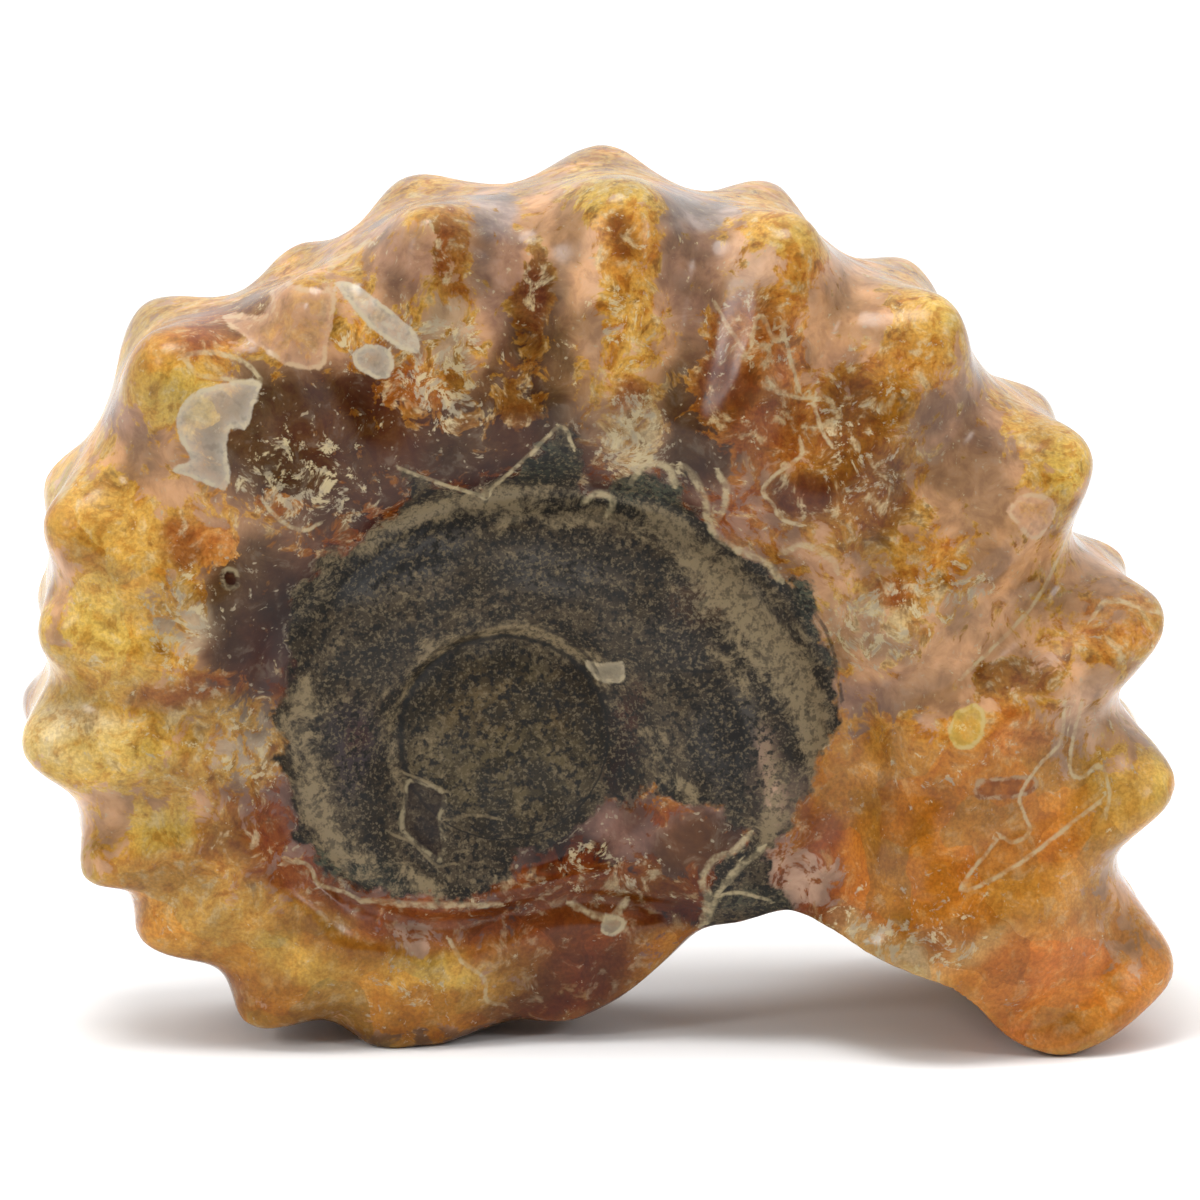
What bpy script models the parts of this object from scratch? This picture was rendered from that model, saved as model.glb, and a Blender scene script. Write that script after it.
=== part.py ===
# A polished ammonite fossil: one solid stone, standing on two small polished flats.
#
# The coil's axis lies along Y and the shell is seen from -Y, X to the right and Z up. Every angle below
# is in degrees about that axis, counted from +X towards +Z, and every other size is in millimetres.
# The last whorl starts at the notch under the opening, at about 317 degrees, and grows with falling
# angle through the bottom, the left and the top to the opening at -29 degrees.

import math

import bmesh
import bpy
import numpy as np
from mathutils import Vector

MM = 0.001
MERGE_DISTANCE = 1e-7

# Height of the coil's axis above the surface that the fossil stands on
AXIS_HEIGHT = 20.15

# Ribs in the order of growth: angle of the crest, its reach from the axis and its height on the flank
RIBS = (
    (284.0, 19.4, 0.8),
    (248.5, 22.5, 0.9),
    (225.5, 25.9, 0.9),
    (206.0, 28.2, 0.8),
    (195.0, 30.1, 0.8),
    (178.0, 33.2, 1.0),
    (164.0, 33.1, 0.8),
    (151.5, 35.6, 0.9),
    (130.0, 38.1, 1.0),
    (112.5, 35.8, 0.8),
    (99.0, 38.3, 0.9),
    (79.0, 40.5, 1.0),
    (62.5, 41.7, 1.0),
    (46.5, 42.8, 1.0),
    (28.5, 44.3, 1.0),
    (12.5, 45.3, 1.0),
    (-2.5, 45.3, 1.0),
    (-19.0, 48.1, 1.0),
)

# Furrows, one before each rib: angle, reach, and height on the flank beside the rib's
FURROWS = (
    (316.7, 18.5, 0.6),
    (271.0, 19.3, 0.5),
    (237.0, 22.7, 0.4),
    (217.5, 25.1, 0.45),
    (200.5, 27.8, 0.5),
    (187.0, 29.6, 0.3),
    (170.0, 31.6, 0.25),
    (158.0, 33.5, 0.5),
    (142.0, 35.0, 0.1),
    (120.5, 35.3, 0.2),
    (107.0, 36.0, 0.4),
    (89.0, 37.7, 0.2),
    (70.3, 39.5, 0.1),
    (54.5, 40.4, 0.15),
    (37.3, 41.4, 0.1),
    (20.0, 41.3, -0.2),
    (4.3, 42.1, 0.2),
    (-10.5, 42.6, -0.3),
)

# The broken end of the whorl and the notch under it, as angle and reach
END = (
    (-19.0, 48.1),
    (-21.5, 46.9),
    (-24.0, 45.5),
    (-26.3, 44.0),
    (-28.0, 42.5),
    (-28.3, 38.5),
    (-28.5, 35.0),
    (-28.7, 32.6),
    (-28.9, 30.2),
    (-29.1, 26.5),
    (-29.5, 23.2),
    (-31.0, 21.9),
    (-34.0, 20.6),
    (-38.0, 19.5),
    (-43.3, 18.5),
)

# How far the broken end turns from its radial line, in degrees by radius, the angles between which this
# grows to its full amount, and the depth below the full reach over which the rib's back gives way to it
END_WAVE = (
    (20.0, 0.0),
    (22.5, 1.8),
    (27.0, 1.9),
    (30.2, 1.6),
    (32.6, 2.7),
    (35.0, 1.2),
    (38.5, -1.8),
    (42.0, -0.6),
    (45.0, 0.0),
)
END_WAVE_FROM = -14.0
END_WAVE_FULL = -27.0
END_BLEND = 3.0

# Distance of the umbilical seam from the axis, by angle
SEAM = (
    (-43.3, 16.2),
    (-31.0, 20.6),
    (-20.0, 22.0),
    (0.0, 22.6),
    (30.0, 21.8),
    (60.0, 19.8),
    (90.0, 18.3),
    (120.0, 17.6),
    (150.0, 17.2),
    (180.0, 16.4),
    (200.0, 15.6),
    (225.0, 14.2),
    (250.0, 12.2),
    (270.0, 10.6),
    (283.0, 10.0),
    (300.0, 11.0),
    (316.7, 16.2),
)

# Half of the last whorl's thickness at its shoulder, by angle
HALF_THICKNESS = (
    (-43.3, 8.6),
    (-32.0, 16.0),
    (0.0, 15.8),
    (45.0, 14.8),
    (90.0, 13.5),
    (135.0, 12.2),
    (180.0, 11.0),
    (225.0, 9.8),
    (270.0, 8.6),
    (316.7, 8.6),
)

# Crest of the inner whorl: its distance from the axis and its height above the middle plane, by angle,
# and the drop from the crest to the seam
INNER_CREST = (
    (-43.3, 12.6),
    (-30.0, 15.2),
    (-15.0, 17.4),
    (12.0, 19.0),
    (45.0, 18.0),
    (90.0, 16.4),
    (135.0, 14.8),
    (185.0, 13.4),
    (225.0, 11.8),
    (270.0, 9.0),
    (300.0, 9.4),
    (316.7, 12.6),
)
INNER_HEIGHT = (
    (-43.3, 9.1),
    (-15.0, 11.0),
    (20.0, 11.6),
    (90.0, 10.9),
    (180.0, 9.8),
    (270.0, 8.9),
    (316.7, 9.1),
)
SEAM_DROP = 1.7

# Where the whorl is low: the seam's place as a share of its reach, and the least distance from the inner
# whorl's crest to the seam and from the seam to the whorl's edge
SEAM_WITHIN = 0.9
LEAST_SEAM_WIDTH = 1.5
LEAST_FLANK_WIDTH = 0.3

# How far a rib turns from the radial line, in degrees for each millimetre inwards from its tip
RIB_SLANT = (
    (-43.3, 1.8),
    (-9.0, 1.7),
    (-3.0, 1.4),
    (5.0, 1.0),
    (13.0, 0.65),
    (22.0, 0.6),
    (30.0, 0.45),
    (60.0, 0.3),
    (80.0, 0.35),
    (100.0, -0.1),
    (130.0, 0.0),
    (316.7, 0.0),
)

# Matrix plug in the middle of each side, and the groove around it
PLUG_RADIUS = 6.9
PLUG_HEIGHT = 8.6
PLUG_DOME = 0.3
GROOVE_WIDTH = 0.9
GROOVE_DEPTH = 0.7

# Flank of the last whorl: where its shoulder lies as a share of the whorl's height, how far the flank has
# come in at the tips, and how deep the furrows are where the whorl is FULL_HALF thick
SHOULDER_AT = 0.3
TIP_INWARD = 0.24
TIP_INWARD_CURVE = 1.8
FURROW_DEPTH = 2.4
FURROW_FROM = 0.05
FURROW_FULL = 0.65
FULL_HALF = 15.0

# Edge and back of the whorl from the flank to the middle, as the drop below the full reach and the share
# of the flank's height: a rib carries a blunt tubercle each side of a hollow, a furrow is arched
RIB_BACK = ((2.6, 1.0), (1.0, 0.95), (0.1, 0.83), (0.1, 0.62), (0.7, 0.3), (1.2, 0.0))
FURROW_BACK = ((4.2, 1.0), (2.5, 0.9), (1.2, 0.74), (0.4, 0.5), (0.1, 0.25), (0.0, 0.0))
END_BACK = ((1.3, 1.0), (0.4, 0.95), (0.0, 0.85), (0.0, 0.56), (0.0, 0.28), (0.0, 0.0))

# Rows of the surface from each rib or furrow to the next: more where the whorl is large
SMALL_RIB_ROWS = 3
LARGE_RIB_ROWS = 5
LARGE_RIBS_BELOW = 65.0

# Columns on the plug and the flank, and from the plug to the inner whorl's crest
PLUG_COLUMNS = 2
FLANK_COLUMNS = 6
INNER_COLUMNS = (0.0, 0.22, 0.6, 1.0)


def smooth_step(share):
    """A share from 0 to 1 eased in and out."""
    share = min(max(share, 0.0), 1.0)
    return share * share * (3.0 - 2.0 * share)


def along(keys, angle):
    """The value at an angle on a smooth curve through (angle, value) keys."""
    angles = [key[0] for key in keys]
    values = [key[1] for key in keys]
    if angle <= angles[0]:
        return values[0]
    if angle >= angles[-1]:
        return values[-1]
    k = int(np.searchsorted(angles, angle, side="right")) - 1
    width = angles[k + 1] - angles[k]
    share = (angle - angles[k]) / width

    def slope(i):
        low = max(i - 1, 0)
        high = min(i + 1, len(keys) - 1)
        return (values[high] - values[low]) / (angles[high] - angles[low])

    start = slope(k) * width
    end = slope(k + 1) * width
    square = share * share
    cube = square * share
    return (
        values[k] * (2 * cube - 3 * square + 1)
        + start * (cube - 2 * square + share)
        + values[k + 1] * (3 * square - 2 * cube)
        + end * (cube - square)
    )


def rib_knots():
    """Ribs and furrows from the opening back to the start, as (angle, reach, height, 1 on a rib)."""
    knots = []
    for furrow, rib in zip(FURROWS, RIBS):
        knots.append((*furrow, 0.0))
        knots.append((*rib, 1.0))
    return knots[::-1]


KNOTS = rib_knots()
REACH, HEIGHT, WAVE = 1, 2, 3


def knot_value(angle, column):
    """A rounded wave through the knots, level beyond the last of them."""
    if angle <= KNOTS[0][0]:
        return KNOTS[0][column]
    if angle >= KNOTS[-1][0]:
        return KNOTS[-1][column]
    for low, high in zip(KNOTS, KNOTS[1:]):
        if angle <= high[0]:
            share = smooth_step((angle - low[0]) / (high[0] - low[0]))
            return low[column] + (high[column] - low[column]) * share


def rib_at(angle, radius):
    """Height of the flank's ribs at a point, from 0 in a furrow to 1 on a strong crest."""
    inwards = max(knot_value(angle, REACH) - radius, 0.0)
    tip_angle = angle
    for _ in range(5):
        tip_angle = angle + along(RIB_SLANT, tip_angle) * inwards
    return knot_value(tip_angle, HEIGHT)


def plug_height(radius):
    """Height of the domed plug above the middle plane."""
    return PLUG_HEIGHT + PLUG_DOME * (1.0 - (radius / PLUG_RADIUS) ** 2)


def inner_height(angle, radius):
    """Height of the rounded inner whorl, from the groove round the plug to the seam."""
    crest = along(INNER_CREST, angle)
    top = along(INNER_HEIGHT, angle)
    if radius < crest:
        inside = PLUG_RADIUS + GROOVE_WIDTH
        low = PLUG_HEIGHT - GROOVE_DEPTH
        left = min(max((crest - radius) / (crest - inside), 0.0), 1.0)
        return low + (top - low) * math.sqrt(1.0 - left * left)
    seam = max(along(SEAM, angle), crest + LEAST_SEAM_WIDTH)
    share = min((radius - crest) / (seam - crest), 1.0)
    return top - SEAM_DROP * share * share


def flank_height(angle, radius):
    """Height of the last whorl's flank above the middle plane, from the seam outwards."""
    seam = along(SEAM, angle)
    half = along(HALF_THICKNESS, angle)
    share = max((radius - seam) / (knot_value(angle, REACH) - seam), 0.0)
    low = inner_height(angle, seam)
    if share < SHOULDER_AT:
        height = low + (half - low) * math.sin(0.5 * math.pi * share / SHOULDER_AT)
    else:
        out = (share - SHOULDER_AT) / (1.0 - SHOULDER_AT)
        height = half * (1.0 - TIP_INWARD * out**TIP_INWARD_CURVE)
    spread = smooth_step((share - FURROW_FROM) / (FURROW_FULL - FURROW_FROM))
    depth = FURROW_DEPTH * half / FULL_HALF
    return height - depth * spread * (1.0 - rib_at(angle, radius))


def side_height(angle, radius):
    """Height of either whorl above the middle plane."""
    if radius < along(SEAM, angle):
        return inner_height(angle, radius)
    return flank_height(angle, radius)


def row_angles():
    """Angles of the surface's rows all the way round, and the reach of the outline at each."""
    rows = []
    for low, high in zip(KNOTS, KNOTS[1:]):
        count = LARGE_RIB_ROWS if high[0] < LARGE_RIBS_BELOW else SMALL_RIB_ROWS
        for step in range(count):
            angle = low[0] + (high[0] - low[0]) * step / count
            rows.append((angle, knot_value(angle, REACH)))
    rows.append(KNOTS[-1][:2])
    return list(END[-2:0:-1]) + rows


def back_profile(angle, reach):
    """Drops and shares of the whorl's edge and back at one row."""
    ended = smooth_step((knot_value(angle, REACH) - reach) / END_BLEND)
    wave = knot_value(angle, WAVE)
    profile = []
    for rib, furrow, end in zip(RIB_BACK, FURROW_BACK, END_BACK):
        values = []
        for k in (0, 1):
            whorl = furrow[k] + (rib[k] - furrow[k]) * wave
            values.append(whorl + (end[k] - whorl) * ended)
        profile.append(values)
    return profile


def section(angle, reach):
    """Points of one row from the plug to the middle of the back, as (radius, height)."""
    seam = min(along(SEAM, angle), SEAM_WITHIN * reach)
    crest = min(along(INNER_CREST, angle), seam - LEAST_SEAM_WIDTH)
    inside = PLUG_RADIUS + GROOVE_WIDTH
    points = []
    for step in range(1, PLUG_COLUMNS + 1):
        radius = PLUG_RADIUS * step / PLUG_COLUMNS
        points.append((radius, plug_height(radius)))
    for share in INNER_COLUMNS:
        radius = inside + (crest - inside) * share
        points.append((radius, inner_height(angle, radius)))
    radius = 0.5 * (crest + seam)
    points.append((radius, inner_height(angle, radius)))
    profile = back_profile(angle, reach)
    scale = along(HALF_THICKNESS, angle) / FULL_HALF
    edge = max(reach - profile[0][0] * scale, seam + LEAST_FLANK_WIDTH)
    for step in range(FLANK_COLUMNS):
        radius = seam + (edge - seam) * step / FLANK_COLUMNS
        points.append((radius, side_height(angle, radius)))
    edge_height = side_height(angle, edge)
    for drop, share in profile:
        points.append((max(reach - drop * scale, edge), share * edge_height))
    return points


def end_turn(angle, radius):
    """Degrees by which a point near the broken end is turned, so that the break waves."""
    strength = smooth_step((angle - END_WAVE_FROM) / (END_WAVE_FULL - END_WAVE_FROM))
    return strength * along(END_WAVE, radius)


def build_surface():
    """A sphere whose rings become the rows and columns of the shell."""
    rows = row_angles()
    sections = [section(angle, reach) for angle, reach in rows]
    half_columns = len(sections[0])
    columns = 2 * half_columns
    bm = bmesh.new()
    bmesh.ops.create_uvsphere(bm, u_segments=len(rows), v_segments=columns, radius=1.0)
    for vert in bm.verts:
        column = round(math.acos(max(-1.0, min(1.0, vert.co.z))) / math.pi * columns)
        turn = math.atan2(vert.co.y, vert.co.x) / (2.0 * math.pi)
        row = round(turn * len(rows)) % len(rows)
        front = column <= half_columns
        step = column if front else columns - column
        if step == 0:
            radius = angle = 0.0
            height = plug_height(0.0)
        else:
            radius, height = sections[row][step - 1]
            angle = rows[row][0]
            angle = math.radians(angle + end_turn(angle, radius))
        side = -1.0 if front else 1.0
        vert.co = Vector((radius * math.cos(angle), side * height, radius * math.sin(angle))) * MM
    return bm


def stand_on_flats(bm):
    """Lifts the shell on its axis height and grinds off what reaches below the surface it stands on."""
    bmesh.ops.translate(bm, verts=bm.verts, vec=Vector((0.0, 0.0, AXIS_HEIGHT * MM)))
    cut = bmesh.ops.bisect_plane(
        bm,
        geom=bm.verts[:] + bm.edges[:] + bm.faces[:],
        dist=MERGE_DISTANCE,
        plane_co=Vector((0.0, 0.0, 0.0)),
        plane_no=Vector((0.0, 0.0, -1.0)),
        clear_outer=True,
    )
    rims = [item for item in cut["geom_cut"] if isinstance(item, bmesh.types.BMEdge)]
    bmesh.ops.holes_fill(bm, edges=rims, sides=0)


def centre(bm):
    """Puts the middle of the shell's length and thickness over the origin."""
    middle = Vector((0.0, 0.0, 0.0))
    for axis in (0, 1):
        values = [vert.co[axis] for vert in bm.verts]
        middle[axis] = 0.5 * (min(values) + max(values))
    bmesh.ops.translate(bm, verts=bm.verts, vec=-middle)


def stone_material():
    """Glossy honey-brown stone."""
    material = bpy.data.materials.new("polished amber calcite")
    material.use_nodes = True
    shader = material.node_tree.nodes["Principled BSDF"]
    shader.inputs["Base Color"].default_value = (0.52, 0.27, 0.09, 1.0)
    shader.inputs["Roughness"].default_value = 0.16
    shader.inputs["Metallic"].default_value = 0.0
    return material


def main():
    for obj in list(bpy.data.objects):
        bpy.data.objects.remove(obj)
    collection = bpy.data.collections.new("polished ammonite")
    bpy.context.scene.collection.children.link(collection)
    bm = build_surface()
    stand_on_flats(bm)
    centre(bm)
    bmesh.ops.triangulate(bm, faces=bm.faces[:])
    bmesh.ops.recalc_face_normals(bm, faces=bm.faces[:])
    mesh = bpy.data.meshes.new("ammonite")
    bm.to_mesh(mesh)
    bm.free()
    mesh.materials.append(stone_material())
    mesh.shade_smooth()
    ammonite = bpy.data.objects.new("ammonite", mesh)
    collection.objects.link(ammonite)


main()
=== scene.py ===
import math

import bmesh
import bpy
import numpy as np
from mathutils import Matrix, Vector, noise


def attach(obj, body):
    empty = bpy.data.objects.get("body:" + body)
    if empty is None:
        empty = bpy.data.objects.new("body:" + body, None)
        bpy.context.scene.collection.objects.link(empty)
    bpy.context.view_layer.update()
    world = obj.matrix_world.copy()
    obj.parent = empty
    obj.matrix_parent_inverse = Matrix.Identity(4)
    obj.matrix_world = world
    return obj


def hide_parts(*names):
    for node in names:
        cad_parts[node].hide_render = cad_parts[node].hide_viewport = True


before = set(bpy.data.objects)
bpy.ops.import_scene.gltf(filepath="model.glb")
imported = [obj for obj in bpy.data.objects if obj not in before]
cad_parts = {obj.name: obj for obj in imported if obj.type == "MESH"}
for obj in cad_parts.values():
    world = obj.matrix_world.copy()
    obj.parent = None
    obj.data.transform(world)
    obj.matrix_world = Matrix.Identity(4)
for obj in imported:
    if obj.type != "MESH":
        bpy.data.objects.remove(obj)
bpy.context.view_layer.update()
mm = 0.001

# The camera stands where the photographer stood: a little left of the coil's axis and a little above it
viewpoint = {
    "azimuth": -4.5,  # degrees, towards the opening is positive
    "elevation": 11.0,
    "distance": 480 * mm,
    "lookAt": (0.455 * mm, -0.413 * mm, 29.566 * mm),
    "lens": 210.7,
    "sensor": 36.0,
    "nearest": 10 * mm,
}


def placed(name, data):
    thing = bpy.data.objects.new(name, data)
    bpy.context.scene.collection.objects.link(thing)
    return thing


def addCamera():
    turn = math.radians(viewpoint["azimuth"])
    lift = math.radians(viewpoint["elevation"])
    back = Vector((math.sin(turn) * math.cos(lift), -math.cos(turn) * math.cos(lift), math.sin(lift)))
    cameraData = bpy.data.cameras.new("studioCamera")
    cameraData.lens = viewpoint["lens"]
    cameraData.sensor_width = viewpoint["sensor"]
    cameraData.clip_start = viewpoint["nearest"]
    camera = placed("studioCamera", cameraData)
    camera.location = Vector(viewpoint["lookAt"]) + back * viewpoint["distance"]
    camera.rotation_euler = back.to_track_quat("Z", "Y").to_euler()
    bpy.context.scene.camera = camera


addCamera()
print("camera is placed")

# The stone's form: how its skin is refined from the plain solid, and the relief worked into it, all in mm
stoneForm = {
    "axis": (-6.134, 20.15),  # the coil's middle, X and Z
    "weld": 0.002,
    "flatFaces": 40.0,  # degrees up to which two triangles become one face
    "squareFaces": 60.0,
    "roundings": 2,
    "skinSpacing": 0.425,
    "easings": 4,
    "easing": 0.5,
    "handPolish": 0.12,  # slow swells of a surface ground by hand
    "polishScale": 6.0,
    "polishSeed": (3.1, 7.7, 1.9),
    "crispness": 0.22,  # how much of what the smoothing took from ribs and furrows is given back
    "plugMiddle": (-0.5, 1.6),
    "plugRadius": 7.0,
    "plugGroove": 0.22,
    "grooveWidth": 0.45,
    "plugDepth": (-5.0, 1.5),  # the groove starts 5 mm from the middle of the thickness
    "grainRelief": 0.035,
    "grainScale": 0.9,
    "grainSeed": (11.3, 2.4, 5.8),
    "grainEdge": (0.4, 0.8),
    "broadEasings": 60,  # after these the ribs are gone, and only the broad form is left
}


def roughStone():
    bm = bmesh.new()
    bm.from_mesh(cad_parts["ammonite"].data)
    bmesh.ops.remove_doubles(bm, verts=bm.verts, dist=stoneForm["weld"] * mm)
    bmesh.ops.join_triangles(
        bm,
        faces=bm.faces[:],
        angle_face_threshold=math.radians(stoneForm["flatFaces"]),
        angle_shape_threshold=math.radians(stoneForm["squareFaces"]),
    )
    mesh = bpy.data.meshes.new("roughStone")
    bm.to_mesh(mesh)
    bm.free()
    rough = placed("roughStone", mesh)
    rounding = rough.modifiers.new("rounding", "SUBSURF")
    rounding.levels = rounding.render_levels = stoneForm["roundings"]
    skin = rough.modifiers.new("skin", "REMESH")
    skin.mode = "VOXEL"
    skin.voxel_size = stoneForm["skinSpacing"] * mm
    done = rough.evaluated_get(bpy.context.evaluated_depsgraph_get())
    skinMesh = bpy.data.meshes.new_from_object(done)
    bpy.data.objects.remove(rough)
    bm = bmesh.new()
    bm.from_mesh(skinMesh)
    for _ in range(stoneForm["easings"]):
        bmesh.ops.smooth_vert(
            bm, verts=bm.verts, factor=stoneForm["easing"], use_axis_x=True, use_axis_y=True, use_axis_z=True
        )
    bm.to_mesh(skinMesh)
    bm.free()
    return skinMesh


def pointsOf(mesh, what="co"):
    values = np.empty(len(mesh.vertices) * 3, dtype=np.float32)
    if what == "co":
        mesh.vertices.foreach_get("co", values)
        return values.reshape(-1, 3).astype(float) / mm
    mesh.vertex_normals.foreach_get("vector", values)
    return values.reshape(-1, 3).astype(float)


def eased(values, pairs, rounds):
    # each point moves to the mean of its neighbours
    count = len(values)
    share = np.bincount(pairs[:, 0], minlength=count) + np.bincount(pairs[:, 1], minlength=count)
    for _ in range(rounds):
        total = np.empty_like(values)
        for k in range(values.shape[1]):
            total[:, k] = np.bincount(pairs[:, 0], values[pairs[:, 1], k], count)
            total[:, k] += np.bincount(pairs[:, 1], values[pairs[:, 0], k], count)
        values = total / share[:, None]
    return values


def swell(places, scale, seed, octaves=3):
    # a slow random value from about -1 to 1 at every point
    moved = places / scale + np.array(seed)
    return np.array([noise.fractal(Vector(p), 1.0, 2.0, octaves) for p in moved])


def smooth(share):
    share = np.clip(share, 0.0, 1.0)
    return share * share * (3.0 - 2.0 * share)


def fade(away, start, width, most=1.0):
    # nothing beyond the start, and the most from one width before it
    return most * smooth((start - away) / width)


stoneMesh = roughStone()
stoneMesh.name = "polishedAmmonite"
places = pointsOf(stoneMesh)
pairs = np.empty(len(stoneMesh.edges) * 2, dtype=np.int32)
stoneMesh.edges.foreach_get("vertices", pairs)
pairs = pairs.reshape(-1, 2)
print("the stone's skin has", len(places), "points and", len(stoneMesh.polygons), "faces")

# Tones of the stone, as the eye reads them on a screen
tones = {
    "cream": (226, 206, 160),
    "lemon": (230, 192, 90),
    "amber": (216, 166, 72),
    "honey": (208, 140, 48),
    "golden": (172, 112, 20),
    "ochre": (122, 70, 10),
    "orange": (212, 132, 58),
    "rust": (150, 76, 20),
    "redBrown": (92, 36, 12),
    "darkRed": (56, 17, 8),
    "smoke": (40, 21, 16),
    "umber": (96, 58, 26),
    "mauve": (134, 100, 87),
    "paleRose": (202, 164, 136),
    "peach": (202, 152, 110),
    "milk": (192, 176, 146),
    "greyVeilAndSheen": (158, 148, 146),
    "shellPink": (226, 176, 138),
    "greyCream": (218, 204, 182),
    "greenish": (66, 70, 56),
    "violet": (52, 44, 48),
    "blueGrey": (58, 57, 56),
    "black": (30, 28, 28),
    "olive": (78, 66, 42),
    "oliveBrown": (84, 64, 34),
    "matrix": (64, 53, 38),
    "tan": (158, 138, 104),
    "dark": (36, 26, 22),
}
lampLight = 1.85  # how bright a white surface looks in the studio below


def lightOf(tone):
    return np.array([((c / 255 + 0.055) / 1.055) ** 2.4 / lampLight for c in tones[tone]])


# The calcite is clear crystal in one place and cloudy in the next. Each tone has a partner of the other kind
cloudyTones = {
    "mauve": "honey",
    "paleRose": "amber",
    "peach": "amber",
    "milk": "lemon",
    "greyVeilAndSheen": "amber",
    "shellPink": "amber",
    "smoke": "redBrown",
    "darkRed": "rust",
    "umber": "ochre",
}
clearTones = {
    "cream": "milk",
    "lemon": "paleRose",
    "amber": "peach",
    "honey": "peach",
    "golden": "peach",
    "ochre": "mauve",
    "orange": "peach",
    "rust": "mauve",
    "redBrown": "smoke",
}

# Where the whorl's seam and rim run, and the tones beside the seam, across the flank and at the rim
whorlZones = (  # angle about the coil's axis, seam and rim in mm, then the three tones
    (-44, 16.2, 20, "smoke", "mauve", "paleRose"),
    (-24, 21.5, 45.5, "rust", "honey", "orange"),
    (-2, 22.6, 45, "mauve", "honey", "amber"),
    (26, 21.9, 44, "peach", "peach", "amber"),
    (52, 20.3, 41.5, "rust", "honey", "peach"),
    (86, 18.5, 39, "smoke", "peach", "amber"),
    (118, 17.6, 36, "darkRed", "mauve", "peach"),
    (150, 17.2, 34.5, "smoke", "peach", "amber"),
    (180, 16.4, 32.5, "rust", "amber", "lemon"),
    (215, 14.8, 26.5, "rust", "amber", "golden"),
    (250, 12.2, 22, "rust", "amber", "golden"),
    (290, 10.2, 19.4, "redBrown", "rust", "rust"),
    (316, 16.2, 20, "smoke", "mauve", "paleRose"),
)
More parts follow.
